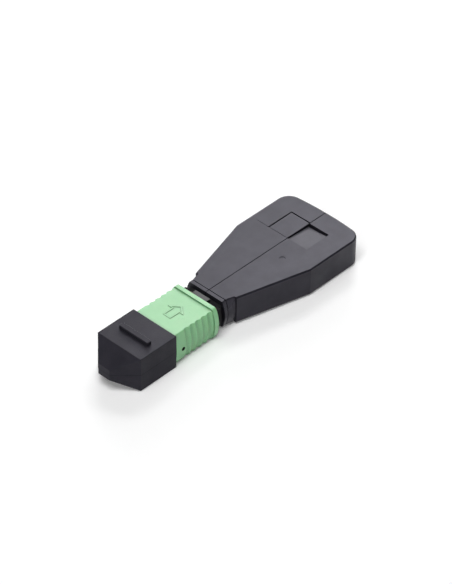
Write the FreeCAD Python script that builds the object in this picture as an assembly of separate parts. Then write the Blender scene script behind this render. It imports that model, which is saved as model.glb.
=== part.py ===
import FreeCAD, Part
import math
import os

Vector = FreeCAD.Vector

# MPO loopback plug for twelve fibres, lying flat: dust cap, sprung pull sleeve,
# plug housing with its MT ferrule, and a two-part housing around the looped fibres.
#
# Working frame, in millimetres: the X axis is the plug's axis and points towards
# the dust cap's nose, Z is up, and X = 0 is the plane of the dust cap's rim.
# Stations behind the rim are negative. Every solid is moved at the end, so that
# the origin lies under the middle of the whole part, level with its lowest face.

# ---- driving dimensions ----------------------------------------------------

# running clearances and gaps
slide_clearance = 0.05
float_clearance = 0.15
rim_gap = 0.15

# sections and stations of the many-sided coils and fibres
wire_sides = 6
fibre_sides = 4
coil_stations = 12
fan_stations = 4
loop_stations = 24

# dust cap
cap_width = 12.95
cap_height = 8.75
cap_length = 10.7
cap_nose_length = 4.65
cap_tip_width = 3.4
cap_tip_height = 2.85
cap_nose_wall = 1.2
cap_edge_radius = 0.15
cap_nose_bevel = 0.1
cap_grip_centre = 5.9
cap_grip_thickness = 1.4
cap_grip_span = 8.7
cap_grip_rise = 0.8
cap_grip_corner_radius = 0.42
cap_grip_bevel = 0.12

# plug housing: the moulding that enters the adapter
plug_width = 9.6
plug_height = 6.2
plug_nose_reach = 5.4
plug_edge_radius = 0.4
plug_bore_width = 7.5
plug_bore_height = 4.3
plug_tail = 14.85
aperture_depth = 1.2
mouth_width = 7.9
mouth_height = 4.3
key_width = 3.0
key_rise = 0.6
key_front = 4.0
key_bevel = 0.3
hook_pocket_front = 1.2
hook_pocket_length = 2.6
hook_pocket_depth = 0.6
hook_pocket_height = 3.4
stop_length = 0.55
stop_rise = 0.5
stop_height = 2.4
rail_width = 4.3
rail_rise = 0.23
rail_length = 5.6
tail_relief_length = 2.3
tail_relief_depth = 0.65
ear_length = 1.65
ear_height = 4.9

# MT ferrule and what stands behind it
ferrule_width = 6.4
ferrule_height = 2.5
ferrule_length = 8.0
ferrule_shoulder_width = 7.2
ferrule_shoulder_height = 3.1
ferrule_shoulder_length = 2.0
ferrule_edge_bevel = 0.12
end_face_angle = 8.0
guide_bore_diameter = 0.7
guide_bore_pitch = 4.6
glue_window_length = 2.0
glue_window_width = 3.6
glue_window_front = 3.4
boot_pocket_depth = 2.6
boot_tongue_width = 3.5
boot_tongue_height = 1.2
boot_width = 3.7
boot_height = 1.7
boot_length = 4.0
keeper_length = 1.6
keeper_height = 3.4
ferrule_travel = 0.6

# springs
ferrule_spring_width = 5.6
ferrule_spring_height = 3.5
ferrule_spring_wire = 0.45
ferrule_spring_turns = 5
ferrule_spring_length = 7.7
sleeve_spring_diameter = 1.1
sleeve_spring_wire = 0.18
sleeve_spring_sink = 0.3
sleeve_spring_turns = 7
sleeve_travel = 2.0

# spring push: clips into the plug housing and carries the rear housing
push_arm_thickness = 0.6
push_arm_height = 3.2
push_arm_length = 3.3
push_hook_length = 1.0
push_hook_height = 2.4
push_hook_reach = 4.4
push_plate_width = 9.3
push_plate_height = 4.7
push_plate_length = 0.9
push_stub_diameter = 5.2
push_stub_length = 6.2
push_ring_diameter = 6.2
push_ring_length = 1.2
push_ring_setback = 2.2
fibre_passage_height = 1.9

# pull sleeve
sleeve_length = 12.75
sleeve_side_wall = 1.65
sleeve_front_wall = 0.85
sleeve_rear_wall = 0.7
sleeve_bow_radius = 11.0
sleeve_edge_radius = 0.4
hook_slot_height = 3.8
sleeve_web = 2.0
channel_depth = 0.85
channel_bow_radius = 7.7
rib_count = 5
rib_pitch = 1.75
rib_first = 3.7
rib_depth = 0.27
rib_valley_radius = 0.9
rib_valley_flats = 8
flange_length = 1.2
flange_side_rise = 0.25
flange_bow_radius = 8.75
flange_edge_radius = 0.8
lip_length = 1.05
lip_rise = 0.32
moulding_hole_diameter = 0.95
moulding_hole_setback = 2.05
moulding_hole_drop = 0.45

# rear housing: two equal halves, met on the upright middle plane
shell_thickness = 7.1
shell_wall = 1.2
shell_skin = 1.1
shell_edge_radius = 0.4
collar_width = 11.6
collar_bow_radius = 7.85
collar_length = 0.9
collar_edge_radius = 0.3
collar_groove_width = 0.2
collar_groove_depth = 0.25
neck_length = 2.15
neck_rear_width = 12.0
neck_rear_bow_radius = 14.0
taper_front_width = 12.4
taper_length = 18.3
body_width = 22.4
body_length = 17.3
body_rear_bow_ratio = 64
body_corner_radius = 3.4
front_block_length = 6.75
seam_width = 0.16
seam_depth = 0.1
dowel_diameter = 0.9
dowel_length = 1.3
dowel_height = 1.3
dowel_boss_length = 0.7

# latch window, one tongue and one pad in each half
window_setback = 4.45
window_length = 7.25
window_half_width = 5.8
slit_width = 0.35
seam_slit_half = 0.1
pad_slot_width = 0.5
pad_drop_at_seam = 0.25
pad_drop_at_rear = 0.35
latch_arm_thickness = 0.7
latch_arm_clearance = 0.1
latch_arm_reach = 3.4
catch_rib_thickness = 0.8
catch_rib_depth = 0.7
catch_nose_rise = 0.7
catch_nose_length = 0.8
insert_line_reach = 9.2
insert_line_width = 0.14
insert_line_depth = 0.06
gate_recess_diameter = 1.5
gate_recess_depth = 0.08
gate_recess_setback = 1.65
gate_recess_offset = 4.1

# fibres
fibre_count = 12
fibre_pitch = 0.25
fibre_diameter = 0.24
loop_side_room = 0.8
loop_rear_room = 0.3
fan_radius = 15.0
fan_angle = 30.0
ribbon_slot_height = 0.35

# ---- sizes that follow -----------------------------------------------------

plug_bore_half = plug_bore_width / 2
plug_half_width = plug_width / 2
plug_half_height = plug_height / 2
ferrule_seat = 0.0
ferrule_rear = ferrule_seat - ferrule_shoulder_length
ferrule_front = ferrule_rear + ferrule_length
keeper_rear = ferrule_rear - keeper_length
push_front = keeper_rear - ferrule_spring_length
plug_rear = -plug_tail
plate_rear = plug_rear - push_plate_length

sleeve_front = -rim_gap
sleeve_rear = sleeve_front - sleeve_length
sleeve_cavity_width = plug_width + 2 * slide_clearance
sleeve_cavity_height = plug_height + 2 * slide_clearance
sleeve_width = sleeve_cavity_width + 2 * sleeve_side_wall
sleeve_height = sleeve_cavity_height + 2 * sleeve_front_wall
sleeve_rear_height = sleeve_cavity_height + 2 * sleeve_rear_wall
sleeve_bow_centre = sleeve_width / 2 - sleeve_bow_radius
flange_width = sleeve_width + 2 * flange_side_rise
channel_width = sleeve_cavity_width + 2 * channel_depth
stop_rear = -(hook_pocket_front + hook_pocket_length + 0.1) - stop_length
web_front = stop_rear - slide_clearance
web_rear = web_front - sleeve_web
ear_front = plug_rear + ear_length
channel_height = ear_height + 2 * float_clearance
sleeve_spring_offset = plug_half_width + sleeve_spring_diameter / 2 - sleeve_spring_sink

collar_front = plate_rear
groove_front = collar_front - collar_length
neck_front = groove_front - collar_groove_width
taper_front = neck_front - neck_length
taper_rear = taper_front - taper_length
body_rear = taper_rear - body_length
body_rear_bow = body_width / body_rear_bow_ratio
window_front = taper_rear - window_setback
window_rear = window_front - window_length
shell_half = shell_thickness / 2
shell_roof = shell_half - shell_skin
cavity_front = collar_front - front_block_length
cavity_rear = body_rear + shell_wall
loop_radius = body_width / 2 - shell_wall - loop_side_room
loop_centre = cavity_rear + dowel_boss_length + loop_rear_room + loop_radius

cap_front = cap_length + cap_nose_length
origin_shift = Vector(-(cap_front + body_rear) / 2, 0, cap_height / 2)
reach = 2 * cap_width


# ---- building blocks -------------------------------------------------------


def block(x0, x1, width, height, y=0.0, z=0.0):
    """A block between two stations, centred on (y, z)."""
    corner = Vector(min(x0, x1), y - width / 2, z - height / 2)
    return Part.makeBox(abs(x1 - x0), width, height, corner)


def between(x0, x1, y0, y1, z0, z1):
    """A block between two limits on each axis."""
    corner = Vector(min(x0, x1), min(y0, y1), min(z0, z1))
    return Part.makeBox(abs(x1 - x0), abs(y1 - y0), abs(z1 - z0), corner)


def rod(x0, x1, diameter, y=0.0, z=0.0):
    """A round bar along X."""
    start = Vector(min(x0, x1), y, z)
    return Part.makeCylinder(diameter / 2, abs(x1 - x0), start, Vector(1, 0, 0))


def mirrored_y(shape):
    return shape.mirror(Vector(0, 0, 0), Vector(0, 1, 0))


def mirrored_z(shape):
    return shape.mirror(Vector(0, 0, 0), Vector(0, 0, 1))


def pair_y(shape):
    """The shape and its copy on the other side of the plug."""
    return shape.fuse(mirrored_y(shape))


def pair_z(shape):
    return shape.fuse(mirrored_z(shape))


def long_edges(shape):
    """The edges of a bar that run from end to end."""
    length = shape.BoundBox.XLength
    return [edge for edge in shape.Edges if edge.BoundBox.XLength > 0.99 * length]


def rounded_bar(x0, x1, width, height, radius):
    bar = block(x0, x1, width, height)
    return bar.makeFillet(radius, long_edges(bar))


def rectangle(x, width, height):
    """Corners of an upright rectangle across the plug's axis."""
    y = width / 2
    z = height / 2
    return [Vector(x, -y, -z), Vector(x, y, -z), Vector(x, y, z), Vector(x, -y, z)]


def bevelled_rectangle(x, width, height, bevel):
    """Corners of an upright rectangle whose own corners are cut off."""
    y = width / 2
    z = height / 2
    plan = [(y, bevel - z), (y, z - bevel), (y - bevel, z), (bevel - y, z),
            (-y, z - bevel), (-y, bevel - z), (bevel - y, -z), (y - bevel, -z)]
    return [Vector(x, *corner) for corner in plan]


def flat_sided(base, tip):
    """Solid between two outlines with as many corners, joined by flat sides."""
    sides = zip(base, base[1:] + base[:1], tip[1:] + tip[:1], tip)
    outlines = [list(base), list(tip)] + [list(side) for side in sides]
    faces = [Part.Face(Part.makePolygon(outline + outline[:1])) for outline in outlines]
    return Part.makeSolid(Part.makeShell(faces))


def barrel_wire(x, height, width, bow_radius):
    """Flat top and bottom, with sides bowed out to the given radius."""
    half_width = width / 2
    top = height / 2
    flat = half_width - bow_radius + math.sqrt(bow_radius**2 - top**2)
    top_edge = Part.LineSegment(Vector(x, -flat, top), Vector(x, flat, top))
    right = Part.Arc(Vector(x, flat, top), Vector(x, half_width, 0), Vector(x, flat, -top))
    bottom_edge = Part.LineSegment(Vector(x, flat, -top), Vector(x, -flat, -top))
    left = Part.Arc(Vector(x, -flat, -top), Vector(x, -half_width, 0), Vector(x, -flat, top))
    return Part.Wire([part.toShape() for part in (top_edge, right, bottom_edge, left)])


def barrel(x0, x1, height, width, bow_radius, edge_radius=0.0):
    front = max(x0, x1)
    face = Part.Face(barrel_wire(front, height, width, bow_radius))
    bar = face.extrude(Vector(-abs(x1 - x0), 0, 0))
    if edge_radius:
        bar = bar.makeFillet(edge_radius, long_edges(bar))
    return bar


def thin_wire(points, outwards, diameter, sides):
    """Wire of a many-sided section through the points, each with its own outward direction."""
    sections = []
    for before, here, after, outward in zip(points[:1] + points, points, points[1:] + points[-1:], outwards):
        ahead = after - before
        turns = [FreeCAD.Rotation(ahead, 360 * i / sides) for i in range(sides)]
        corners = [here + turn.multVec(outward * (diameter / 2)) for turn in turns]
        sections.append(Part.makePolygon(corners + corners[:1]))
    return Part.makeLoft(sections, True, True)


# ---- dust cap --------------------------------------------------------------


def cap_outside():
    body = block(0, cap_length, cap_width, cap_height)
    body = body.makeFillet(cap_edge_radius, long_edges(body))
    base = bevelled_rectangle(cap_length, cap_width, cap_height, cap_nose_bevel)
    tip = bevelled_rectangle(cap_front, cap_tip_width, cap_tip_height, cap_nose_bevel)
    return body.fuse(flat_sided(base, tip))


def cap_cavity():
    width = plug_width + 2 * slide_clearance
    height = plug_height + 2 * slide_clearance
    straight = cap_length - cap_nose_wall / 2
    pocket = block(-1, straight, width, height)
    end = rectangle(cap_front - cap_nose_wall, width / 8, height / 8)
    hollow = flat_sided(rectangle(straight, width, height), end)
    key_half = plug_half_height + key_rise + slide_clearance
    key_way = between(-1, key_front + 1, -key_width / 2 - slide_clearance,
                      key_width / 2 + slide_clearance, 0, key_half)
    return pocket.fuse([hollow, key_way])


def cap_grip():
    """The cross bar on top that a fingernail pulls on."""
    top = cap_height / 2 + cap_grip_rise
    x0 = cap_grip_centre - cap_grip_thickness / 2
    x1 = cap_grip_centre + cap_grip_thickness / 2
    half_span = cap_grip_span / 2
    bar = between(x0, x1, -half_span, half_span, 0.9 * cap_height / 2, top)
    upright = [e for e in bar.Edges if e.BoundBox.ZLength > cap_grip_rise]
    bar = bar.makeFillet(cap_grip_corner_radius, upright)
    rim = [e for e in bar.Edges if e.BoundBox.ZMin > top - 1e-4]
    return bar.makeChamfer(cap_grip_bevel, rim)


def dust_cap():
    return cap_outside().fuse(cap_grip()).cut(cap_cavity()).removeSplitter()


# ---- plug housing ----------------------------------------------------------


def hook_pockets():
    """Side pockets that an adapter's hooks drop into."""
    front = -hook_pocket_front
    outer = plug_half_width + 1
    inner = plug_half_width - hook_pocket_depth
    half = hook_pocket_height / 2
    pocket = between(front, front - hook_pocket_length, inner, outer, -half, half)
    return pair_y(pocket)


def stop_wedges():
    """Ramped bumps that the pull sleeve snaps over and then rests against."""
    rise = plug_half_width + stop_rise
    root = plug_half_width - 0.1
    front = stop_rear + stop_length
    half = stop_height / 2
    corners = [Vector(stop_rear, root, -half), Vector(stop_rear, rise, -half)]
    corners += [Vector(front - 0.3 * stop_length, rise, -half), Vector(front, root, -half)]
    face = Part.Face(Part.makePolygon(corners + corners[:1]))
    return pair_y(face.extrude(Vector(0, 0, stop_height)))


def spring_grooves():
    groove = rod(web_rear, ear_front, sleeve_spring_diameter + 2 * slide_clearance, sleeve_spring_offset)
    return pair_y(groove)


def ears():
    """Spring seats that close the sleeve's side channels at the back."""
    outer = barrel(ear_front, plug_rear, sleeve_height, channel_width - 2 * slide_clearance,
                   channel_bow_radius - slide_clearance)
    slab = between(ear_front, plug_rear, plug_bore_half + 0.1, reach, -ear_height / 2, ear_height / 2)
    return pair_y(outer.common(slab))


def tail_reliefs():
    """Lowered strips on both faces, between the middle rail and the ears."""
    x0 = plug_rear + tail_relief_length
    top = plug_half_height
    strip = between(x0, plug_rear - 1, rail_width / 2, plug_half_width + 1, top - tail_relief_depth, top + 1)
    return pair_z(pair_y(strip))


def rails():
    half = plug_half_height + rail_rise
    return block(plug_rear + rail_length, plug_rear, rail_width, 2 * half)


def plug_key():
    top = plug_half_height + key_rise
    key = between(rim_gap, key_front, -key_width / 2, key_width / 2, 0, top)
    lead = [e for e in key.Edges if e.BoundBox.XMin > key_front - 1e-4 and e.BoundBox.ZMin > top - 1e-4]
    return key.makeChamfer(key_bevel, lead)


def hook_windows():
    """Side windows that the spring push clips into."""
    half = push_hook_height / 2 + slide_clearance
    front = push_front + push_arm_length + slide_clearance
    rear = front - push_hook_length - 2 * slide_clearance
    return block(front, rear, plug_width + 1, 2 * half)


def plug_bore():
    width = ferrule_width + 2 * float_clearance
    height = ferrule_height + 2 * float_clearance
    aperture = block(ferrule_seat - 1, plug_nose_reach + 1, width, height)
    mouth = rounded_bar(ferrule_seat + aperture_depth, plug_nose_reach + 1, mouth_width, mouth_height,
                        plug_edge_radius)
    bore = block(ferrule_seat, plug_rear - 1, plug_bore_width, plug_bore_height)
    return aperture.fuse([mouth, bore])


def inner_housing():
    body = rounded_bar(plug_nose_reach, plug_rear, plug_width, plug_height, plug_edge_radius)
    body = body.cut(tail_reliefs())
    body = body.fuse([rails(), ears(), stop_wedges(), plug_key()])
    body = body.cut(plug_bore())
    body = body.cut(spring_grooves().common(block(web_rear, ear_front, reach, plug_height)))
    body = body.cut(hook_pockets())
    return body.cut(hook_windows()).removeSplitter()


# ---- ferrule group ---------------------------------------------------------


def end_face_cutter():
    """Everything ahead of the slanted fibre end face."""
    setback = ferrule_height / 2 * math.tan(math.radians(end_face_angle))
    cutter = block(0, ferrule_length, reach, reach)
    cutter.rotate(Vector(0, 0, 0), Vector(0, 1, 0), end_face_angle)
    cutter.translate(Vector(ferrule_front - setback, 0, 0))
    return cutter


def mt_ferrule():
    bar = block(ferrule_rear, ferrule_front, ferrule_width, ferrule_height)
    bar = bar.makeChamfer(ferrule_edge_bevel, long_edges(bar))
    shoulder = rounded_bar(ferrule_rear, ferrule_seat, ferrule_shoulder_width, ferrule_shoulder_height,
                           ferrule_edge_bevel)
    bar = bar.fuse(shoulder).cut(end_face_cutter())
    pocket = block(ferrule_rear - 1, ferrule_rear + boot_pocket_depth + ferrule_travel,
                   boot_tongue_width + 2 * slide_clearance, boot_tongue_height + 2 * slide_clearance)
    window = between(glue_window_front, glue_window_front - glue_window_length,
                     -glue_window_width / 2, glue_window_width / 2, 0, ferrule_height)
    bore = rod(ferrule_rear - 1, ferrule_front + 1, guide_bore_diameter, guide_bore_pitch / 2)
    return bar.cut([pocket, window, pair_y(bore)]).removeSplitter()


def pin_keeper():
    """The plate that the spring bears on, and that guide pins stop against."""
    plate = rounded_bar(ferrule_rear, keeper_rear, ferrule_shoulder_width, keeper_height, plug_edge_radius)
    window = block(ferrule_rear + 1, keeper_rear - 1, boot_width + 2 * slide_clearance,
                   boot_height + 2 * slide_clearance)
    return plate.cut(window)


def ribbon_slot(x0, x1):
    width = fibre_count * fibre_pitch + ribbon_slot_height - fibre_diameter
    return block(x0, x1, width, ribbon_slot_height)


def ferrule_boot():
    tongue = block(ferrule_rear + boot_pocket_depth, ferrule_rear, boot_tongue_width, boot_tongue_height)
    sleeve = rounded_bar(ferrule_rear, ferrule_rear - boot_length, boot_width, boot_height, plug_edge_radius)
    return tongue.fuse(sleeve).cut(ribbon_slot(plug_nose_reach, plug_rear))


def coil_spring(rear, front, width, height, wire, turns):
    """A climbing coil, round or with two straight sides, from end to end."""
    half_width = (width - wire) / 2
    half_height = (height - wire) / 2
    bend = min(half_width, half_height)
    steps = coil_stations * turns
    first = front - wire / 2
    last = rear + wire / 2
    points = []
    outwards = []
    for i in range(steps + 1):
        angle = 2 * math.pi * (i + 0.5) / coil_stations
        outward = Vector(0, math.cos(angle), math.sin(angle))
        y = math.copysign(half_width - bend, outward.y) + bend * outward.y
        z = math.copysign(half_height - bend, outward.z) + bend * outward.z
        points.append(Vector(first + (last - first) * i / steps, y, z))
        outwards.append(outward)
    return thin_wire(points, outwards, wire, wire_sides)


def ferrule_spring():
    """Oval coil between the pin keeper and the spring push."""
    return coil_spring(push_front, keeper_rear, ferrule_spring_width, ferrule_spring_height,
                       ferrule_spring_wire, ferrule_spring_turns)


def sleeve_spring():
    """Round coil between the sleeve's web and one ear, on the +Y side."""
    coil = coil_spring(ear_front, web_rear, sleeve_spring_diameter, sleeve_spring_diameter,
                       sleeve_spring_wire, sleeve_spring_turns)
    return coil.translated(Vector(0, sleeve_spring_offset, 0))


# ---- spring push -----------------------------------------------------------


def push_arms():
    """Two side arms whose hooks clip into the plug housing's windows."""
    outer = plug_bore_half - slide_clearance
    inner = outer - push_arm_thickness
    tip = push_front + push_arm_length
    half = push_arm_height / 2
    arm = between(tip, push_front - 0.5, inner, outer, -half, half)
    hook_corners = [Vector(tip, outer - 0.1, 0), Vector(tip - 0.6 * push_hook_length, push_hook_reach, 0),
                    Vector(tip - push_hook_length, push_hook_reach, 0),
                    Vector(tip - push_hook_length, outer - 0.1, 0)]
    profile = Part.Face(Part.makePolygon(hook_corners + hook_corners[:1]))
    hook = profile.extrude(Vector(0, 0, push_hook_height))
    hook.translate(Vector(0, 0, -push_hook_height / 2))
    return pair_y(arm.fuse(hook))


def spring_push():
    width = plug_bore_width - 2 * slide_clearance
    height = plug_bore_height - 2 * slide_clearance
    plug = block(push_front, plug_rear, width, height)
    plate = rounded_bar(plug_rear, plate_rear, push_plate_width, push_plate_height, plug_edge_radius)
    stub = rod(plate_rear, plate_rear - push_stub_length, push_stub_diameter)
    ring_front = plate_rear - push_ring_setback
    ring = rod(ring_front, ring_front - push_ring_length, push_ring_diameter)
    body = plug.fuse([plate, stub, ring, push_arms()])
    passage_width = boot_width + 2 * slide_clearance
    passage = block(push_front + 1, plate_rear - push_stub_length - 1, passage_width, fibre_passage_height)
    return body.cut(passage).removeSplitter()


# ---- pull sleeve -----------------------------------------------------------


def grip_valleys():
    """Valleys that follow the bowed sides between the grip ribs, each with a many-sided section."""
    track = sleeve_bow_radius + rib_valley_radius - rib_depth
    spread = math.pi / rib_valley_flats
    reach_out = rib_valley_radius / math.cos(spread)
    axis = Vector(1, 0, 0)
    valleys = []
    for i in range(rib_count):
        station = -rib_first - i * rib_pitch
        corners = []
        for k in range(2 * rib_valley_flats + 1):
            angle = (k + 0.5) * spread
            offset = Vector(reach_out * math.sin(angle), track + reach_out * math.cos(angle), 0)
            corners.append(offset + Vector(station, sleeve_bow_centre, 0))
        ring = Part.Face(Part.makePolygon(corners)).revolve(Vector(0, sleeve_bow_centre, 0), axis, 360)
        valleys += [ring, mirrored_y(ring)]
    return valleys


def sleeve_outside():
    """The bowed body, drawn in slightly to the rear, with its grip, flange and lips."""
    flange_front = sleeve_rear + flange_length
    front = barrel_wire(sleeve_front, sleeve_height, sleeve_width, sleeve_bow_radius)
    rear = barrel_wire(flange_front, sleeve_rear_height, sleeve_width, sleeve_bow_radius)
    body = Part.makeLoft([front, rear], True, True)
    body = body.makeFillet(sleeve_edge_radius, long_edges(body))
    flange = barrel(flange_front, sleeve_rear, sleeve_rear_height, flange_width, flange_bow_radius,
                    flange_edge_radius)
    lip = barrel(sleeve_rear + lip_length, sleeve_rear, sleeve_rear_height + 2 * lip_rise, flange_width,
                 flange_bow_radius, flange_edge_radius)
    return body.cut(grip_valleys()).fuse([flange, lip])


def side_channels(x0, x1, height):
    """Channels in both side walls that leave the wall behind its bowed outside."""
    channel = barrel(x0, x1, sleeve_height, channel_width, channel_bow_radius)
    return channel.common(block(x0, x1, reach, height))


def moulding_holes():
    """A small round hole through each side wall near the front."""
    start = Vector(sleeve_front - moulding_hole_setback, -reach / 2, -moulding_hole_drop)
    return Part.makeCylinder(moulding_hole_diameter / 2, reach, start, Vector(0, 1, 0))


def pull_sleeve():
    cavity = block(sleeve_front + 1, sleeve_rear - 1, sleeve_cavity_width, sleeve_cavity_height)
    hook_slots = side_channels(sleeve_front + 1, web_front, hook_slot_height)
    spring_channels = side_channels(web_rear, sleeve_rear - 1, channel_height)
    rail_half = plug_half_height + rail_rise + slide_clearance
    rail_grooves = block(plug_rear + rail_length + sleeve_travel + float_clearance, sleeve_rear - 1,
                         rail_width + 2 * slide_clearance, 2 * rail_half)
    body = sleeve_outside()
    body = body.cut([cavity, hook_slots, spring_channels, rail_grooves])
    return body.cut(moulding_holes()).removeSplitter()


# ---- rear housing ----------------------------------------------------------


def plan_wire(z):
    """Plan of the housing behind the neck: taper, straight sides, round corners, bowed rear."""
    front = taper_front_width / 2
    side = body_width / 2
    corner_rear = body_rear + body_rear_bow
    r = body_corner_radius
    sweep = r * (1 - math.sqrt(0.5))
    a = Vector(taper_front, front, z)
    b = Vector(taper_rear, side, z)
    c = Vector(corner_rear + r, side, z)
    c_mid = Vector(corner_rear + sweep, side - sweep, z)
    d = Vector(corner_rear, side - r, z)
    right = [Part.makeLine(a, b), Part.makeLine(b, c), Part.Arc(c, c_mid, d).toShape()]
    rear = Part.Arc(d, Vector(body_rear, 0, z), Vector(corner_rear, r - side, z)).toShape()
    left = [mirrored_y(edge) for edge in reversed(right)]
    nose = Part.makeLine(Vector(taper_front, -front, z), a)
    return Part.Wire(Part.__sortEdges__(right + [rear] + left + [nose]))


def housing_body():
    body = Part.Face(plan_wire(-shell_half)).extrude(Vector(0, 0, shell_thickness))
    rims = []
    for edge in body.Edges:
        level = edge.BoundBox.ZLength < 1e-4
        if level and edge.BoundBox.XMin < taper_front - 0.1:
            rims.append(edge)
    return body.makeFillet(shell_edge_radius, rims)


def housing_neck():
    collar = barrel(collar_front, groove_front, shell_thickness, collar_width, collar_bow_radius,
                    collar_edge_radius)
    core = barrel(groove_front, neck_front, shell_thickness - 2 * collar_groove_depth,
                  collar_width - 2 * collar_groove_depth, collar_bow_radius - collar_groove_depth,
                  collar_edge_radius)
    start = barrel_wire(neck_front, shell_thickness, collar_width, collar_bow_radius)
    end = barrel_wire(taper_front, shell_thickness, neck_rear_width, neck_rear_bow_radius)
    neck = Part.makeLoft([start, end], True, True)
    neck = neck.makeFillet(collar_edge_radius, long_edges(neck))
    return collar.fuse([core, neck])


def housing_hollow():
    """Room for the fibre loops, and the seat of the spring push's stub and ring."""
    plan = Part.Face(plan_wire(-shell_roof)).makeOffset2D(-shell_wall)
    room = plan.extrude(Vector(0, 0, 2 * shell_roof))
    room = room.common(block(cavity_front, body_rear, 2 * body_width, shell_thickness))
    boss = block(cavity_rear + dowel_boss_length, body_rear, 3 * dowel_diameter, shell_thickness)
    stub_seat = rod(collar_front + 1, cavity_front - 1, push_stub_diameter + 2 * slide_clearance)
    ring_front = plate_rear - push_ring_setback + slide_clearance
    ring_seat = rod(ring_front, ring_front - push_ring_length - 2 * slide_clearance,
                    push_ring_diameter + 2 * slide_clearance)
    return room.cut(boss).fuse([stub_seat, ring_seat])


def seam_grooves():
    """Fine V groove along the seam on the top, the bottom and the rear."""
    half = seam_width / 2
    top = shell_half
    points = [Vector(0, -half, top + 0.01), Vector(0, half, top + 0.01), Vector(0, 0, top - seam_depth)]
    wedge = Part.Face(Part.makePolygon(points + points[:1])).extrude(Vector(body_rear - 1, 0, 0))
    rear = [Vector(body_rear - 0.01, -half, -reach), Vector(body_rear - 0.01, half, -reach),
            Vector(body_rear + seam_depth, 0, -reach)]
    rear_wedge = Part.Face(Part.makePolygon(rear + rear[:1])).extrude(Vector(0, 0, 2 * reach))
    return [wedge, mirrored_z(wedge), rear_wedge]


def tongue_slits():
    """Slits that free the flush latch tongue in the top of the left half."""
    side = -window_half_width
    top = shell_half + 1
    floor = shell_roof - 1
    outer = between(window_front, window_rear - slit_width, side, side + slit_width, floor, top)
    rear = between(window_rear, window_rear - slit_width, side, 1, floor, top)
    seam = between(window_front, window_rear, -seam_slit_half, 1, floor, top)
    return [outer, rear, seam]


def insert_line():
    """Fine line across the top of the left half, where two steels of the mould meet."""
    half = insert_line_width / 2
    top = shell_half
    points = [Vector(window_front - half, 0, top + 0.01), Vector(window_front + half, 0, top + 0.01),
              Vector(window_front, 0, top - insert_line_depth)]
    return Part.Face(Part.makePolygon(points + points[:1])).extrude(Vector(0, -insert_line_reach, 0))


def gate_recess():
    """Shallow round recess around the moulding gate, in the bottom of the left half."""
    start = Vector(taper_rear + gate_recess_setback, -gate_recess_offset, -shell_half - 1)
    return Part.makeCylinder(gate_recess_diameter / 2, 1 + gate_recess_depth, start)


def pad_cutters():
    """The sloped pad and its rear slot in the bottom of the left half."""
    low = -shell_half
    deep = low + pad_drop_at_seam + pad_drop_at_rear
    side = -window_half_width
    x0 = window_front
    x1 = window_rear
    outer = [Vector(x0, side, low - 1), Vector(x1, side, low - 1),
             Vector(x1, side, low + pad_drop_at_rear), Vector(x0, side, low)]
    inner = [Vector(x0, 1e-3, low - 1), Vector(x1, 1e-3, low - 1),
             Vector(x1, 1e-3, deep), Vector(x0, 1e-3, low + pad_drop_at_seam)]
    slope = flat_sided(outer, inner)
    slot = between(x1, x1 + pad_slot_width, side, 1, low - 1, 1 - shell_roof)
    seam = between(x0, x1, -seam_slit_half, 1, low - 1, 1 - shell_roof)
    return [slope, slot, seam]


def latch_arm():
    """Arm under the tongue that reaches over the seam and hooks behind a rib."""
    front = window_front - 1
    rear = window_rear + slit_width + 1
    top = shell_roof - catch_rib_depth - latch_arm_clearance
    low = top - latch_arm_thickness
    inner = -window_half_width + 2 * slit_width
    root = between(front, rear, inner, -2 * seam_slit_half, low, shell_roof + 0.2)
    reach_end = latch_arm_reach + catch_nose_length
    arm = between(front, rear, inner, reach_end, low, top)
    nose = between(front, rear, latch_arm_reach, reach_end, low, top + catch_nose_rise)
    return root.fuse([arm, nose])


def catch_rib():
    """Rib under the pad that the other half's latch arm hooks behind."""
    front = window_front - 0.5
    rear = window_rear + pad_slot_width + 0.2
    outer = -(latch_arm_reach - slide_clearance)
    low = -shell_roof - 0.1
    return between(front, rear, outer, outer + catch_rib_thickness, low, catch_rib_depth - shell_roof)


def dowel(diameter, length):
    """Pin along Y across the seam, near the rear wall."""
    x = cavity_rear + dowel_boss_length - 1.2 * dowel_diameter
    start = Vector(x, -dowel_length, dowel_height)
    return Part.makeCylinder(diameter / 2, dowel_length + length, start, Vector(0, 1, 0))


def housing_half():
    """The left half. The right half is the same moulding turned over about X."""
    whole = housing_body().fuse(housing_neck())
    whole = whole.cut([housing_hollow()] + seam_grooves())
    half = whole.common(between(collar_front + 1, body_rear - 1, 0, -body_width, -reach, reach))
    half = half.cut(tongue_slits() + pad_cutters() + [insert_line(), gate_recess()])
    half = half.fuse([latch_arm(), catch_rib(), dowel(dowel_diameter, dowel_length)])
    socket = dowel(dowel_diameter + 2 * slide_clearance, dowel_length + slide_clearance)
    return half.cut(mirrored_z(mirrored_y(socket))).removeSplitter()


# ---- fibres ----------------------------------------------------------------


def arc_points(centre, radius, start, end, steps):
    """Points round an arc in the plan, from one angle to another."""
    angles = [start + (end - start) * i / steps for i in range(steps + 1)]
    return [centre + Vector(radius * math.cos(a), radius * math.sin(a), 0) for a in angles]


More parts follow.
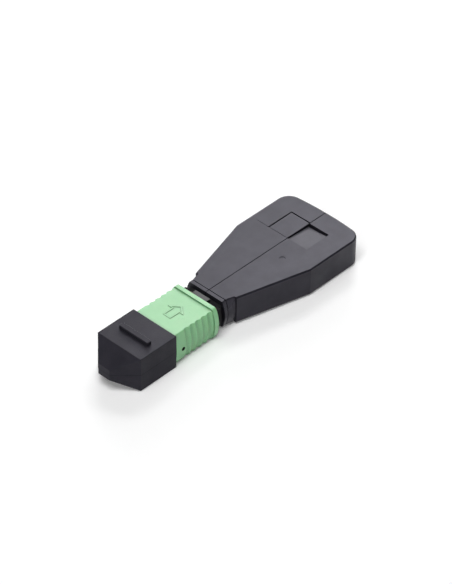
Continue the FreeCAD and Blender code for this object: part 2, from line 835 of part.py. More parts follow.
def fibre_route(inset):
    """One fibre: out of the ferrule, round the loop and back to its partner hole.

    The routes are parallel, so every fibre keeps its distance from the next.
    """
    turn = math.radians(fan_angle)
    y = (fibre_count - 1) * fibre_pitch / 2 - inset
    r_loop = loop_radius - inset
    r_fan = fan_radius + inset
    slant = (r_loop * math.cos(turn) - y - r_fan * (1 - math.cos(turn))) / math.sin(turn)
    fan_start = loop_centre + (r_loop + r_fan) * math.sin(turn) + slant * math.cos(turn)
    tip = Vector(ferrule_rear + boot_pocket_depth - fibre_pitch, y, 0)
    upright = -math.pi / 2
    fan = arc_points(Vector(fan_start, y + r_fan, 0), r_fan, upright, upright - turn, fan_stations)
    middle = Vector(loop_centre, 0, 0)
    loop = arc_points(middle, r_loop, math.pi / 2 - turn, 3 * math.pi / 2 + turn, loop_stations)
    out = [tip] + fan
    back = [Vector(p.x, -p.y, 0) for p in reversed(out)]
    return out + loop + back


def fibre_loop(index):
    route = fibre_route(index * fibre_pitch)
    return thin_wire(route, [Vector(0, 0, 1)] * len(route), fibre_diameter, fibre_sides)


# ---- output ----------------------------------------------------------------


def build_nodes():
    left_half = housing_half()
    right_half = left_half.copy()
    right_half.rotate(Vector(0, 0, 0), Vector(1, 0, 0), 180)
    right_spring = sleeve_spring()
    nodes = {
        "dust_cap": dust_cap(),
        "pull_sleeve": pull_sleeve(),
        "sleeve_spring_left": mirrored_y(right_spring),
        "sleeve_spring_right": right_spring,
        "inner_housing": inner_housing(),
        "mt_ferrule": mt_ferrule(),
        "pin_keeper": pin_keeper(),
        "ferrule_boot": ferrule_boot(),
        "ferrule_spring": ferrule_spring(),
        "spring_push": spring_push(),
        "housing_shell_left": left_half,
        "housing_shell_right": right_half,
    }
    for index in range(fibre_count // 2):
        nodes[f"fibre_loop_{index + 1}"] = fibre_loop(index)
    return nodes


def main():
    os.makedirs("parts", exist_ok=True)
    for name, shape in build_nodes().items():
        if len(shape.Solids) == 1:
            shape = shape.Solids[0]
        placed = shape.translated(origin_shift)
        placed.exportStep(os.path.join("parts", name + ".step"))
        box = placed.optimalBoundingBox(False, False)
        print(f"{name:22s} solids {len(placed.Solids)} valid {placed.isValid()} volume {placed.Volume:9.3f} "
              f"x {box.XMin:7.2f} {box.XMax:7.2f} y {box.YMin:6.2f} {box.YMax:6.2f} "
              f"z {box.ZMin:5.2f} {box.ZMax:5.2f}")


main()
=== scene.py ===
import math

import bmesh
import bpy
from mathutils import Matrix, Vector


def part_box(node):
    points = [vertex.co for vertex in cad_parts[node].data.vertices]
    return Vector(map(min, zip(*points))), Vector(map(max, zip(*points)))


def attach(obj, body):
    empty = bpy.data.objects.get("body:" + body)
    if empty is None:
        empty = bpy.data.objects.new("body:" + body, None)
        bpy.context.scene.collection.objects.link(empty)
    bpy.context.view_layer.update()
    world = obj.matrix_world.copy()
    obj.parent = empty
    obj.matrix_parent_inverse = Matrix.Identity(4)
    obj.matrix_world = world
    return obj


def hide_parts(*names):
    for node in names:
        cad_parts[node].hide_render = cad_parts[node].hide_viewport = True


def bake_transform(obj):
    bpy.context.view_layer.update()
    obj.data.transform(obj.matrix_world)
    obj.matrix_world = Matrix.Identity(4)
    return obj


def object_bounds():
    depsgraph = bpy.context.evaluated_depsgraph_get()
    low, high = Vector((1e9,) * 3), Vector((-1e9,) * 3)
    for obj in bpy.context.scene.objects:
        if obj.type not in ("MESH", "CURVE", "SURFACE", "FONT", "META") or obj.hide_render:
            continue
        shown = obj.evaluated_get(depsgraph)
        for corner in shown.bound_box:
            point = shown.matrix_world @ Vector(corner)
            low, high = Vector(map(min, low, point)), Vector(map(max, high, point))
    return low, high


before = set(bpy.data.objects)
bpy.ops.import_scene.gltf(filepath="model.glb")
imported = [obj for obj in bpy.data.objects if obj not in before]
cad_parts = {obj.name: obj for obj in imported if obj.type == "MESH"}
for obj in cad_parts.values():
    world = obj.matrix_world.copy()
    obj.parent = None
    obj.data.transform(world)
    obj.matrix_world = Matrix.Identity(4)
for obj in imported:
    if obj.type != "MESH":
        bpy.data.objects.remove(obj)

# Looks of a fibre loopback plug: the finish of every solid, the round wires and
# fibres inside it, the arrow and the mould flash on it, the studio and the camera.
# Lengths on the part are named in millimetres, and MM turns them into metres.
# The studio's own lengths are in metres.

MM = 0.001
cad_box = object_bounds()

cap_low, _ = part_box("dust_cap")
shell_low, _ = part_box("housing_shell_left")
ferrule_low, ferrule_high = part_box("mt_ferrule")
RIM_X = cap_low.x
AXIS_Z = (ferrule_low.z + ferrule_high.z) / 2


def at(u, y, z):
    """A place u mm ahead of the cap's rim, y mm to the side and z mm above the axis."""
    return Vector((RIM_X + u * MM, y * MM, AXIS_Z + z * MM))


# ---- materials under construction ------------------------------------------

OCCLUSION_SAMPLES = 8

# Spans of openness over which a crease fades out into open surface: the dulled gloss, and the painted
# shade.
DULL_CREASE = (0.55, 0.95)
CREASE_SHADE_SPAN = (0.72, 1.0)


class Finish:
    """A material under construction, with its Principled shader."""

    def __init__(self, name):
        self.material = bpy.data.materials.new(name)
        self.material.use_nodes = True
        self.tree = self.material.node_tree
        self.shader = self.tree.nodes["Principled BSDF"]
        self.colour = self.shader.inputs["Base Color"]
        self.roughness = self.shader.inputs["Roughness"]
        coordinates = self.add("ShaderNodeTexCoord")
        self.place = coordinates.outputs["Object"]
        self.normal = coordinates.outputs["Normal"]

    def add(self, kind, **settings):
        node = self.tree.nodes.new(kind)
        for key, value in settings.items():
            setattr(node, key, value)
        return node

    def link(self, source, target):
        self.tree.links.new(source, target)

    def set(self, **values):
        """Sets the shader's own sockets. The words of a socket are joined by underscores."""
        for key, value in values.items():
            self.shader.inputs[key.replace("_", " ")].default_value = value

    def math(self, operation, a, b=0):
        node = self.add("ShaderNodeMath", operation=operation)
        for socket, value in zip(node.inputs, (a, b)):
            if isinstance(value, (int, float)):
                socket.default_value = value
            else:
                self.link(value, socket)
        return node.outputs[0]

    def mix(self, factor, a, b):
        """Colour a where the factor is 0 and b where it is 1."""
        node = self.add("ShaderNodeMix", data_type="RGBA")
        self.link(factor, node.inputs["Factor"])
        for socket, colour in ((node.inputs["A"], a), (node.inputs["B"], b)):
            if isinstance(colour, tuple):
                socket.default_value = (*colour, 1)
            else:
                self.link(colour, socket)
        return node.outputs["Result"]

    def remap(self, value, span, low, high, **settings):
        """Goes from low to high as the value crosses the span, and stays there beyond it."""
        node = self.add("ShaderNodeMapRange", **settings)
        for key, number in zip(("From Min", "From Max", "To Min", "To Max"), (*span, low, high)):
            node.inputs[key].default_value = number
        self.link(value, node.inputs["Value"])
        return node.outputs["Result"]

    def noise(self, per_mm, detail=3.0, roughness=0.5, stretch=(1, 1, 1)):
        """Noise of the object's own coordinates, at so many cells to a millimetre."""
        mapping = self.add("ShaderNodeMapping")
        mapping.inputs["Scale"].default_value = tuple(per_mm / MM * s for s in stretch)
        self.link(self.place, mapping.inputs["Vector"])
        noise = self.add("ShaderNodeTexNoise")
        noise.inputs["Scale"].default_value = 1.0
        noise.inputs["Detail"].default_value = detail
        noise.inputs["Roughness"].default_value = roughness
        self.link(mapping.outputs["Vector"], noise.inputs["Vector"])
        return noise.outputs["Fac"]

    def off(self, vector, axis, level=0.0):
        """How far one coordinate of a vector is from a level, on either side."""
        parts = self.add("ShaderNodeSeparateXYZ")
        self.link(vector, parts.inputs[0])
        return self.math("ABSOLUTE", self.math("SUBTRACT", parts.outputs[axis], level))

    def flatness(self):
        """1 on faces that look up or down, 0 on upright walls."""
        return self.off(self.normal, "Z")

    def height(self):
        """Height of a point above or below the plug's axis, in metres."""
        return self.off(self.place, "Z", AXIS_Z)

    def aside(self):
        """Distance of a point from the plug's middle plane, in metres."""
        return self.off(self.place, "Y")

    def distance(self, place, counted=(1, 1, 1)):
        """Distance of a point from a place in metres, over the axes that are counted."""
        mapping = self.add("ShaderNodeMapping")
        mapping.inputs["Scale"].default_value = counted
        self.link(self.place, mapping.inputs["Vector"])
        node = self.add("ShaderNodeVectorMath", operation="DISTANCE")
        node.inputs[1].default_value = [p * c for p, c in zip(place, counted)]
        self.link(mapping.outputs["Vector"], node.inputs[0])
        return node.outputs["Value"]

    def openness(self, reach_mm, span, low, high):
        """Goes from low in creases to high on open surface, judged within a reach."""
        node = self.add("ShaderNodeAmbientOcclusion", samples=OCCLUSION_SAMPLES)
        node.inputs["Distance"].default_value = reach_mm * MM
        return self.remap(node.outputs["AO"], span, low, high)

    def roughen(self, amount):
        """Adds to the roughness made so far."""
        self.link(self.math("ADD", self.roughness.links[0].from_socket, amount), self.roughness)

    def paint(self, kept, colour):
        """Lays a colour over the one made so far, which stays where kept is 1."""
        self.link(self.mix(kept, colour, self.colour.links[0].from_socket), self.colour)

    def dull_creases(self, reach_mm, amount):
        """Takes the gloss off in seams and corners."""
        self.roughen(self.openness(reach_mm, DULL_CREASE, amount, 0))

    def paint_crease_shade(self, reach_mm, shade):
        """Paints shade into the colour in valleys and corners, where less light gets in."""
        node = self.add("ShaderNodeMix", data_type="RGBA", blend_type="MULTIPLY")
        node.inputs["Factor"].default_value = 1.0
        self.link(self.colour.links[0].from_socket, node.inputs["A"])
        self.link(self.openness(reach_mm, CREASE_SHADE_SPAN, shade, 1.0), node.inputs["B"])
        self.link(node.outputs["Result"], self.colour)

    def bump(self, height, strength, depth_mm):
        """Adds bumps on top of the ones made so far."""
        node = self.add("ShaderNodeBump")
        node.inputs["Strength"].default_value = strength
        node.inputs["Distance"].default_value = depth_mm * MM
        self.link(height, node.inputs["Height"])
        normal = self.shader.inputs["Normal"]
        if normal.is_linked:
            self.link(normal.links[0].from_socket, node.inputs["Normal"])
        self.link(node.outputs["Normal"], normal)


# ---- moulded plastic -------------------------------------------------------

# Spans of noise between its rare extremes.
NOISE_SPAN = (0.2, 0.8)
CLOUD_SPAN = (0.3, 0.7)

# Spans of flatness over which an upright wall turns into the top, a wall into a
# rounded edge, and a rounded edge into the top.
WALL_TO_TOP = (0.3, 0.8)
WALL_TO_EDGE = (0.05, 0.25)
EDGE_TO_TOP = (0.94, 0.995)

# Patches of gloss have this many cells for each cell of the clouds of tone.
PATCHES_PER_CLOUD = 0.6
SPECKLES_PER_MM = 4.0
WAVES_PER_MM = 0.35
WAVE_DEPTH = 0.25
GRAINS_PER_MM = 3.0
GRAIN_DEPTH = 0.04


def uneven_gloss(finish, cloud_mm, patch, speckle):
    """Wide patches and small speckles, which lie as much above the mean as below it."""
    patches = finish.noise(PATCHES_PER_CLOUD / cloud_mm)
    speckles = finish.noise(SPECKLES_PER_MM, detail=2.0, roughness=0.6)
    return finish.math("ADD", finish.remap(patches, NOISE_SPAN, patch, -patch),
                       finish.remap(speckles, NOISE_SPAN, speckle, -speckle))


def level_gloss(finish, top, wall, edge):
    """Roughness by the way a face looks, with smoother edges where they are given."""
    flatness = finish.flatness()
    if edge is None:
        return finish.remap(flatness, WALL_TO_TOP, wall, top)
    return finish.math("ADD", finish.remap(flatness, WALL_TO_EDGE, wall, edge),
                       finish.remap(flatness, EDGE_TO_TOP, 0.0, top - edge))


def moulded(name, dark, light, cloud_mm, top, wall, edge=None, patch=0.06, speckle=0.06,
            waves=0.1, grain=0.3):
    """Moulded plastic: cloudy tone, patchy gloss, slight sink and a spark-eroded grain.

    Top, wall and edge are roughness: of faces that look up or down, of walls, which
    leave the mould sideways, and of rounded edges. Patch and speckle are how far the
    roughness strays, and waves and grain are the strength of the bumps.
    """
    finish = Finish(name)
    clouds = finish.remap(finish.noise(1 / cloud_mm), CLOUD_SPAN, 0, 1)
    finish.link(finish.mix(clouds, dark, light), finish.colour)
    uneven = uneven_gloss(finish, cloud_mm, patch, speckle)
    finish.link(finish.math("ADD", uneven, level_gloss(finish, top, wall, edge)), finish.roughness)
    finish.bump(finish.noise(WAVES_PER_MM), waves, WAVE_DEPTH)
    finish.bump(finish.noise(GRAINS_PER_MM, detail=4.0, roughness=0.7), grain, GRAIN_DEPTH)
    return finish


# ---- finishes --------------------------------------------------------------

BLACK_SHEEN = (0.84, 0.81, 1.0, 1)

# The swirl round each of the two gates, one on the top and one on the bottom. U is
# the place along the plug, ahead of the cap's rim.
GATE_U = -35.6
GATE_ASIDE = 4.1
GATE_UP = 3.5
SWIRL_PITCH = 1.3
SWIRL_WANDER = 0.9
SWIRL_CELLS_PER_MM = 0.6
SWIRL_SPAN = (0.6 * MM, 3.6 * MM)
SWIRL_DEPTH = 0.045

# Marks that fade out over a span of distance: the dull seam of the housing, the painted
# shade of a groove along the parting line of the cap, the matt walls of the plug below
# its rails, and the painted shade inside the moulding holes of the sleeve. Dulling is what a mark adds to
# the roughness.
SEAM_SPAN = (0.05 * MM, 0.13 * MM)
SEAM_DULLING = 0.55
PARTING_SHADE_SPAN = (0.03 * MM, 0.11 * MM)
RAIL_SPAN = (3.2 * MM, 3.3 * MM)
RAIL_DULLING = 0.45
HOLE_U = -2.2
HOLE_UP = -0.45
HOLE_SHADE_SPAN = (0.49 * MM, 0.52 * MM)

# How much lighter the light places of a fibre's coating are.
LIGHTER_GAIN = 1.25
LIGHTER_LIFT = 0.02


def swirl_round(finish, gate, wander):
    """Faint wandering rings in the gloss, which die out away from the gate."""
    reach = finish.math("ADD", finish.distance(gate), wander)
    phase = finish.math("MULTIPLY", reach, 2 * math.pi / (SWIRL_PITCH * MM))
    fade = finish.remap(reach, SWIRL_SPAN, SWIRL_DEPTH, 0)
    finish.roughen(finish.math("MULTIPLY", finish.math("SINE", phase), fade))


def housing_finish():
    """The housing's black, with swirls round the gates and dull seams between smooth edges."""
    finish = moulded("housing_plastic", (0.0085, 0.0080, 0.0112), (0.0155, 0.0147, 0.0198),
                     cloud_mm=3.0, top=0.37, wall=0.50, edge=0.16, patch=0.09, speckle=0.03,
                     waves=0.04, grain=0.1)
    finish.set(Specular_IOR_Level=0.35, Specular_Tint=BLACK_SHEEN)
    stray = finish.noise(SWIRL_CELLS_PER_MM, detail=2.0)
    wander = finish.remap(stray, NOISE_SPAN, -SWIRL_WANDER * MM, SWIRL_WANDER * MM)
    for side in (1, -1):
        swirl_round(finish, at(GATE_U, GATE_ASIDE * side, GATE_UP * side), wander)
    finish.roughen(finish.remap(finish.aside(), SEAM_SPAN, SEAM_DULLING, 0))
    finish.dull_creases(reach_mm=0.3, amount=0.45)
    return finish.material


def cap_finish():
    """The cap's black, with painted shade of a groove along its mould's parting line at the axis's height.
    """
    finish = moulded("cap_plastic", (0.014, 0.0133, 0.018), (0.021, 0.020, 0.026),
                     cloud_mm=3.5, top=0.50, wall=0.62, grain=0.6)
    finish.set(Specular_IOR_Level=0.25, Specular_Tint=BLACK_SHEEN)
    # Painted shade: a darker band at the axis's height stands in for the groove of the parting line.
    finish.paint(finish.remap(finish.height(), PARTING_SHADE_SPAN, 0, 1), (0.006, 0.006, 0.008))
    return finish.material


def plug_finish():
    """The plug's black, with matt walls up to the rails, which are glossier."""
    finish = moulded("plug_plastic", (0.006, 0.006, 0.007), (0.010, 0.010, 0.012),
                     cloud_mm=3.0, top=0.38, wall=0.8)
    finish.set(Specular_IOR_Level=0.45)
    finish.roughen(finish.remap(finish.height(), RAIL_SPAN, RAIL_DULLING, 0.0))
    return finish.material


def sleeve_finish():
    """Green that lets a little light in, with painted shade inside the moulding holes of its sides and in
    its valleys and corners.
    """
    finish = moulded("sleeve_plastic", (0.245, 0.575, 0.275), (0.275, 0.615, 0.303),
                     cloud_mm=4.0, top=0.32, wall=0.45, grain=0.2)
    finish.set(Specular_IOR_Level=0.75, Subsurface_Weight=0.1, Subsurface_Scale=0.5 * MM)
    # Painted shade: the inside of each moulding hole is painted a near-black green, as if it lay in shadow.
    off_hole = finish.distance(at(HOLE_U, 0, HOLE_UP), counted=(1, 0, 1))
    finish.paint(finish.remap(off_hole, HOLE_SHADE_SPAN, 0, 1), (0.01, 0.03, 0.015))
    # Painted shade: the rib valleys and the corners of the sleeve are painted darker green.
    finish.paint_crease_shade(reach_mm=1.2, shade=0.58)
    return finish.material


def steel_finish():
    """Wire with faint marks of the drawing along it."""
    finish = Finish("spring_steel")
    finish.set(Metallic=1.0)
    drawn = finish.noise(per_mm=6.0, stretch=(0.3, 1, 1))
    finish.link(finish.mix(drawn, (0.50, 0.50, 0.48), (0.72, 0.71, 0.69)), finish.colour)
    finish.link(finish.remap(drawn, CLOUD_SPAN, 0.22, 0.36), finish.roughness)
    return finish.material


def fibre_finish(name, colour):
    """Glossy coating whose colour varies a little along the fibre."""
    finish = Finish("fibre_" + name)
    lighter = tuple(min(1.0, LIGHTER_GAIN * c + LIGHTER_LIFT) for c in colour)
    finish.link(finish.mix(finish.noise(per_mm=0.8, detail=2.0), colour, lighter), finish.colour)
    finish.set(Roughness=0.25, Coat_Weight=0.4, Coat_Roughness=0.1)
    return finish.material


def hidden_finishes():
    """Finishes of the ferrule and of what stands behind it, inside the plug."""
    ferrule = moulded("ferrule_polymer", (0.050, 0.050, 0.055), (0.085, 0.085, 0.09),
                      cloud_mm=1.2, top=0.38, wall=0.38)
    keeper = moulded("keeper_plastic", (0.15, 0.15, 0.16), (0.21, 0.21, 0.22),
                     cloud_mm=2.0, top=0.45, wall=0.45)
    boot = moulded("boot_rubber", (0.030, 0.030, 0.032), (0.042, 0.042, 0.045),
                   cloud_mm=1.5, top=0.7, wall=0.7, grain=0.5)
    return {"mt_ferrule": ferrule.material, "pin_keeper": keeper.material, "ferrule_boot": boot.material}


def dress_solids():
    """Gives every solid its finish, and says which it got."""
    finishes = {"dust_cap": cap_finish(), "pull_sleeve": sleeve_finish(), **hidden_finishes()}
    finishes["inner_housing"] = finishes["spring_push"] = plug_finish()
    finishes["housing_shell_left"] = finishes["housing_shell_right"] = housing_finish()
    steel = steel_finish()
    coating = fibre_finish("plain", (0.6, 0.62, 0.6))
    for spring, *_ in SPRINGS:
        finishes[spring] = steel
    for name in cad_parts:
        if name.startswith("fibre_loop"):
            finishes[name] = coating
    for name, material in finishes.items():
        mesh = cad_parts[name].data
        mesh.materials.clear()
        mesh.materials.append(material)
    return finishes


# ---- making pieces ---------------------------------------------------------


def add_piece(name, mesh, material):
    piece = bpy.data.objects.new(name, mesh)
    bpy.context.scene.collection.objects.link(piece)
    mesh.materials.append(material)
    return piece


def circle(centre, radius, first, second, sides):
    """Corners round a centre, from one direction towards another."""
    angles = [2 * math.pi * k / sides for k in range(sides)]
    return [centre + radius * (math.cos(a) * first + math.sin(a) * second) for a in angles]


def skin(name, tubes, lids=(True, True), smooth=False):
    """Mesh over tubes of rings of corners, with lids on their first and last rings."""
    maker = bmesh.new()
    for tube in tubes:
        rings = [[maker.verts.new(corner) for corner in ring] for ring in tube]
        for here, there in zip(rings, rings[1:]):
            for k in range(len(here)):
                n = (k + 1) % len(here)
                maker.faces.new((here[k], here[n], there[n], there[k])).smooth = smooth
        if lids[0]:
            maker.faces.new(reversed(rings[0]))
        if lids[1]:
            maker.faces.new(rings[-1])
    bmesh.ops.recalc_face_normals(maker, faces=maker.faces)
    mesh = bpy.data.meshes.new(name)
    maker.to_mesh(mesh)
    maker.free()
    return mesh


def wire(name, points, outwards, radius, sides):
    """Round wire along the points. Each point has a direction that its first corner faces."""
    rings = []
    last = len(points) - 1
    for i, (point, outward) in enumerate(zip(points, outwards)):
        along = (points[min(i + 1, last)] - points[max(i - 1, 0)]).normalized()
        first = (outward - along * outward.dot(along)).normalized()
        rings.append(circle(point, radius, first, along.cross(first), sides))
    return skin(name, [rings], smooth=True)


# ---- springs ---------------------------------------------------------------

# Node, the body that its front end moves with, thickness of the wire, turns.
SPRINGS = [
    ("sleeve_spring_left", "sleeve", 0.18, 7),
    ("sleeve_spring_right", "sleeve", 0.18, 7),
    ("ferrule_spring", "ferrule", 0.45, 5),
]
# Pitch of the closed first and last turns, in thicknesses of the wire.
CLOSED_PITCH = 1.1
COIL_STEPS = 24
SPRING_SIDES = 10


def coil(node, thickness, turns):
    """Points of a coil in a node's box, and the way outwards at each.

    The coil's first and last turns are closed against their neighbours.
    """
    low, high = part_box(node)
    middle = (low + high) / 2
    half_width = (high.y - low.y - thickness) / 2
    half_height = (high.z - low.z - thickness) / 2
    bend = min(half_width, half_height)
    closed = CLOSED_PITCH * thickness
    pitch = (high.x - low.x - thickness - 2 * closed) / (turns - 2)
    points = []
    outwards = []
    for i in range(COIL_STEPS * turns + 1):
        t = i / COIL_STEPS
        back = closed * min(t, 1) + pitch * min(max(t - 1, 0), turns - 2) + closed * max(t - turns + 1, 0)
        outward = Vector((0, math.cos(2 * math.pi * t), math.sin(2 * math.pi * t)))
        y = math.copysign(half_width - bend, outward.y) + bend * outward.y
        z = math.copysign(half_height - bend, outward.z) + bend * outward.z
        points.append(Vector((high.x - thickness / 2 - back, middle.y + y, middle.z + z)))
        outwards.append(outward)
    return points, outwards


def make_springs(steel):
    for node, mover, thickness, turns in SPRINGS:
        points, outwards = coil(node, thickness * MM, turns)
        mesh = wire(node + "_wire", points, outwards, thickness * MM / 2, SPRING_SIDES)
        piece = add_piece(node + "_wire", mesh, steel)
        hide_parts(node)
        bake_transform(piece)


# ---- fibres ----------------------------------------------------------------

# Colours of the fibres, from the outermost loop inwards.
CODE_COLOURS = [
    ("blue", (0.020, 0.120, 0.520)),
    ("orange", (0.800, 0.230, 0.020)),
    ("green", (0.030, 0.350, 0.080)),
    ("brown", (0.190, 0.075, 0.030)),
    ("slate", (0.250, 0.270, 0.300)),
    ("white", (0.800, 0.800, 0.780)),
]
FIBRE_COUNT = 12
FIBRE_PITCH = 0.25
FIBRE_DIAMETER = 0.24
FIBRE_SIDES = 8

# Behind a straight leg, the fibres turn outwards through this angle on this radius,
# then go straight to the loop.
FAN_RADIUS = 15.0
FAN_TURN = math.radians(30)
LEG_STEPS = 16
FAN_STEPS = 16
LOOP_STEPS = 40

GLASS_DIAMETER = 0.125
GLASS_SIDES = 16
END_FACE_TILT = math.radians(8)

# Rings of a polished end: share of its radius, and how far it stands out of the face.
GLASS_RINGS = [(1.0, -0.01), (1.0, 0.004), (0.6, 0.007)]


def arc(centre, radius, start, end, steps):
    angles = [start + (end - start) * i / steps for i in range(steps + 1)]
    return [centre + Vector((radius * math.cos(a), radius * math.sin(a), 0)) for a in angles]


def fibre_route(node, inset):
    """Out of the ferrule, round the loop and back, in the lane of the node's box."""
    low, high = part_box(node)
    y = (FIBRE_COUNT - 1) * FIBRE_PITCH * MM / 2 - inset
    loop_radius = (high.y - low.y - FIBRE_DIAMETER * MM) / 2
    loop_x = low.x + FIBRE_DIAMETER * MM / 2 + loop_radius
    fan_radius = FAN_RADIUS * MM + inset
    slant = loop_radius * math.cos(FAN_TURN) - y - fan_radius * (1 - math.cos(FAN_TURN))
    fan_x = loop_x + (loop_radius + fan_radius) * math.sin(FAN_TURN) + slant / math.tan(FAN_TURN)
    run = fan_x - high.x
    leg = [Vector((high.x + run * i / LEG_STEPS, y, AXIS_Z)) for i in range(LEG_STEPS)]
    quarter = math.pi / 2
    fan = arc(Vector((fan_x, y + fan_radius, AXIS_Z)), fan_radius, -quarter, -quarter - FAN_TURN, FAN_STEPS)
    half_loop = arc(Vector((loop_x, 0, AXIS_Z)), loop_radius, quarter - FAN_TURN, 2 * quarter, LOOP_STEPS)
    out = leg + fan + half_loop
    return out + [Vector((p.x, -p.y, p.z)) for p in reversed(out[:-1])]


def make_fibres():
    for index, (colour_name, colour) in enumerate(CODE_COLOURS):
        node = f"fibre_loop_{index + 1}"
        route = fibre_route(node, index * FIBRE_PITCH * MM)
        upwards = [Vector((0, 0, 1))] * len(route)
        mesh = wire(node + "_coated", route, upwards, FIBRE_DIAMETER * MM / 2, FIBRE_SIDES)
        piece = add_piece(node + "_coated", mesh, fibre_finish(colour_name, colour))
        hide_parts(node)
        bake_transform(piece)


def make_fibre_ends():
    """The polished glass ends, level with the slanted face of the ferrule."""
    face_x = (ferrule_high.x - RIM_X) / MM - (ferrule_high.z - AXIS_Z) / MM * math.tan(END_FACE_TILT)
    outward = Vector((math.cos(END_FACE_TILT), 0, -math.sin(END_FACE_TILT)))
    side = Vector((0, 1, 0))
    up = outward.cross(side)
    ends = []
    for i in range(FIBRE_COUNT):
        centre = at(face_x, (i - (FIBRE_COUNT - 1) / 2) * FIBRE_PITCH, 0)
        rings = []
        for share, proud in GLASS_RINGS:
            radius = share * GLASS_DIAMETER * MM / 2
            rings.append(circle(centre + outward * proud * MM, radius, side, up, GLASS_SIDES))
        ends.append(rings)
    glass = fibre_finish("glass", (0.55, 0.60, 0.62))
    mesh = skin("fibre_ends", ends, lids=(False, True))
    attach(add_piece("fibre_ends", mesh, glass), "ferrule")


# ---- arrow -----------------------------------------------------------------

# Places along the plug, ahead of the cap's rim.
ARROW_TIP = -8.3
ARROW_SHOULDER = -6.4
ARROW_TAIL = -3.6

ARROW_HALF_HEAD = 2.3
ARROW_HALF_SHAFT = 1.1
ARROW_STROKE = 0.28
ARROW_RISE = 0.04


def arrow_outline(inset):
    """Corners of an arrow that points to the rear, drawn in by so much."""
    run = ARROW_SHOULDER - ARROW_TIP
    slope = math.hypot(run, ARROW_HALF_HEAD)
    tip = ARROW_TIP + inset * slope / ARROW_HALF_HEAD
    head = ARROW_HALF_HEAD - inset * (slope + ARROW_HALF_HEAD) / run
    shoulder = ARROW_SHOULDER - inset
    shaft = ARROW_HALF_SHAFT - inset
    tail = ARROW_TAIL - inset
    half = [(tip, 0), (shoulder, head), (shoulder, shaft), (tail, shaft)]
    return [at(u, y, 0) for u, y in half + [(u, -y) for u, y in reversed(half[1:])]]


def make_arrow(green):
    """Raised arrow on top of the sleeve, the way it is pulled to unlatch."""
    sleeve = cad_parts["pull_sleeve"].data
    flat = max(v.co.z for v in sleeve.vertices if v.co.x > RIM_X + ARROW_TAIL * MM)
    low, high = flat - ARROW_RISE * MM, flat + ARROW_RISE * MM
    outer, inner = arrow_outline(0), arrow_outline(ARROW_STROKE)
    levels = ((outer, low), (outer, high), (inner, high), (inner, low))
    rings = [[Vector((p.x, p.y, z)) for p in outline] for outline, z in levels]
    mesh = skin("pull_arrow", [rings], lids=(False, False))
    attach(add_piece("pull_arrow", mesh, green), "sleeve")


# ---- mould flash -----------------------------------------------------------

# The slanted edge of the cap's nose, at the axis's height.
NOSE_ROOT = Vector((10.7, 6.475, 0))
NOSE_TIP = Vector((15.35, 1.7, 0))

# Shares of that edge between which the flash runs.
FLASH_ENDS = (0.03, 0.97)
FLASH_HALF_HEIGHT = 0.06
FLASH_RISE = 0.05
FLASH_SINK = 0.05


def make_flash(black):
    """Thin mould flash at mid height of the dust cap's nose, one ridge on each side."""
    run = NOSE_TIP - NOSE_ROOT
    outward = Vector((-run.y, run.x, 0)).normalized()
    section = [(-FLASH_HALF_HEIGHT, -FLASH_SINK), (0, FLASH_RISE), (FLASH_HALF_HEIGHT, -FLASH_SINK)]
    ridges = []
    for side in (1, -1):
        rings = []
        for share in FLASH_ENDS:
            corners = [(NOSE_ROOT + run * share + outward * rise, height) for height, rise in section]
            rings.append([at(p.x, side * p.y, height) for p, height in corners])
        ridges.append(rings)
    mesh = skin("cap_flash", ridges)
    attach(add_piece("cap_flash", mesh, black), "cap")


# ---- studio ----------------------------------------------------------------

# The part lies on the cap's rim edge and on the housing's rear edge, so the
# floor leans against the part's own frame.
LEAN = math.atan2(shell_low.z - cap_low.z, RIM_X - shell_low.x)
FLOOR_SIZE = 6.0
FLOOR_COLOUR = (0.96, 0.96, 0.96, 1)
WALL_HEIGHT = 0.6
WALL_SIDES = 48

# Radius of the wall as a share of half the floor.
WALL_PLACE = 0.97

# The paper's own light grows with the distance from the cap's rim.
LIFT_SPAN = (0.3, 1.3)
NEAR_LIFT = 0.12
FAR_LIFT = 0.9
SKY_LEVEL = 0.10

# The camera, placed in a frame that is tilted against the part's own.
VIEW_TILT = 0.0154075
VIEW_AZIMUTH = 133.61
VIEW_ELEVATION = 40.55
VIEW_ROLL = math.radians(0.076)
VIEW_DISTANCE = 0.70506
VIEW_CENTRE = Vector((-25.357 * MM, -2.995 * MM, 0))
LENS = 197.27
CLIP_START = 0.01

# Softboxes: name, azimuth and elevation that they shine from in degrees,
# distance, width and height in metres, watts.
LAMPS = [
    ("back_low_softbox", 313, 20, 0.9, 0.34, 0.22, 2.2),
    ("back_high_softbox", 313, 46, 0.9, 0.32, 0.16, 1.15),
    ("back_near_softbox", 292, 43, 0.28, 0.09, 0.07, 0.12),
    ("overhead_softbox", 110, 70, 0.9, 0.5, 0.5, 4.85),
    ("front_side_softbox", 98, 28, 0.9, 0.3, 0.3, 1.35),
]


def way_to(azimuth, elevation):
    """Direction of a place that is seen at an azimuth and an elevation in degrees."""
    a, e = math.radians(azimuth), math.radians(elevation)
    return Vector((math.sin(a) * math.cos(e), -math.cos(a) * math.cos(e), math.sin(e)))


def make_camera():
    tilt = Matrix.Rotation(VIEW_TILT, 3, "Y")
    back = way_to(VIEW_AZIMUTH, VIEW_ELEVATION)
    level = way_to(VIEW_AZIMUTH + 90, 0)
    upright = back.cross(level)
    right = level * math.cos(VIEW_ROLL) + upright * math.sin(VIEW_ROLL)
    up = upright * math.cos(VIEW_ROLL) - level * math.sin(VIEW_ROLL)
    place = tilt @ (VIEW_CENTRE + back * VIEW_DISTANCE) + Vector((RIM_X, 0, 0))
    axes = Matrix([tilt @ v for v in (right, up, back)]).transposed()
    data = bpy.data.cameras.new("camera")
    data.lens = LENS
    data.clip_start = CLIP_START
    camera = bpy.data.objects.new("camera", data)
    camera.matrix_world = Matrix.Translation(place) @ axes.to_4x4()
    bpy.context.scene.collection.objects.link(camera)
    bpy.context.scene.camera = camera


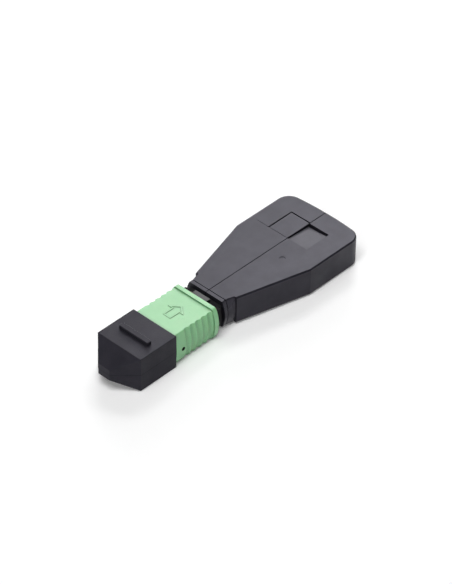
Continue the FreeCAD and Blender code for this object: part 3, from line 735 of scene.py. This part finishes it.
def paper_finish():
    """White paper that stays white far from the lamps, where nothing is lit.

    Its own light is for camera, gloss and glass rays alone, so it lights nothing.
    """
    finish = Finish("floor_paper")
    finish.set(Base_Color=FLOOR_COLOUR, Roughness=0.9, Specular_IOR_Level=0.0, Emission_Color=(1, 1, 1, 1))
    rays = finish.add("ShaderNodeLightPath").outputs
    seen = finish.math("MAXIMUM", rays["Is Camera Ray"], rays["Is Glossy Ray"])
    seen = finish.math("MAXIMUM", seen, rays["Is Transmission Ray"])
    reach = finish.distance((0, 0, 0))
    lift = finish.remap(reach, LIFT_SPAN, NEAR_LIFT, FAR_LIFT, interpolation_type="SMOOTHSTEP")
    finish.link(finish.math("MULTIPLY", seen, lift), finish.shader.inputs["Emission Strength"])
    return finish.material


def stage_piece(name, corners, faces, material):
    mesh = bpy.data.meshes.new(name)
    mesh.from_pydata(corners, [], faces)
    mesh.materials.append(material)
    piece = bpy.data.objects.new(name, mesh)
    piece.matrix_world = Matrix.Translation((RIM_X, 0, 0)) @ Matrix.Rotation(LEAN, 4, "Y")
    bpy.context.scene.collection.objects.link(piece)


def make_floor():
    """A wide floor, and a low white wall round it that hides its end."""
    paper = paper_finish()
    half = FLOOR_SIZE / 2
    corners = [(-half, -half, 0), (half, -half, 0), (half, half, 0), (-half, half, 0)]
    stage_piece("floor", corners, [(0, 1, 2, 3)], paper)
    ring = []
    for i in range(WALL_SIDES):
        angle = 2 * math.pi * i / WALL_SIDES
        foot = (WALL_PLACE * half * math.cos(angle), WALL_PLACE * half * math.sin(angle))
        ring += [(*foot, 0), (*foot, WALL_HEIGHT)]
    count = len(ring)
    faces = [(k, (k + 2) % count, (k + 3) % count, k + 1) for k in range(0, count, 2)]
    stage_piece("backdrop", ring, faces, paper)


def make_lamps():
    centre = (cad_box[0] + cad_box[1]) / 2
    for name, azimuth, elevation, distance, width, height, watts in LAMPS:
        towards = way_to(azimuth, elevation)
        data = bpy.data.lights.new(name, "AREA")
        data.shape = "RECTANGLE"
        data.size = width
        data.size_y = height
        data.energy = watts
        lamp = bpy.data.objects.new(name, data)
        turn = towards.to_track_quat("Z", "Y").to_matrix().to_4x4()
        lamp.matrix_world = Matrix.Translation(centre + towards * distance) @ turn
        lamp.visible_camera = False
        bpy.context.scene.collection.objects.link(lamp)


def make_world():
    world = bpy.data.worlds.new("studio")
    bpy.context.scene.world = world
    world.use_nodes = True
    background = world.node_tree.nodes["Background"]
    background.inputs["Color"].default_value = (1, 1, 1, 1)
    background.inputs["Strength"].default_value = SKY_LEVEL


# ---- put together ----------------------------------------------------------

finishes = dress_solids()
make_springs(finishes["ferrule_spring"])
make_fibres()
make_fibre_ends()
make_arrow(finishes["pull_sleeve"])
make_flash(finishes["dust_cap"])
make_floor()
make_lamps()
make_world()
make_camera()
bpy.context.scene.view_settings.view_transform = "Standard"
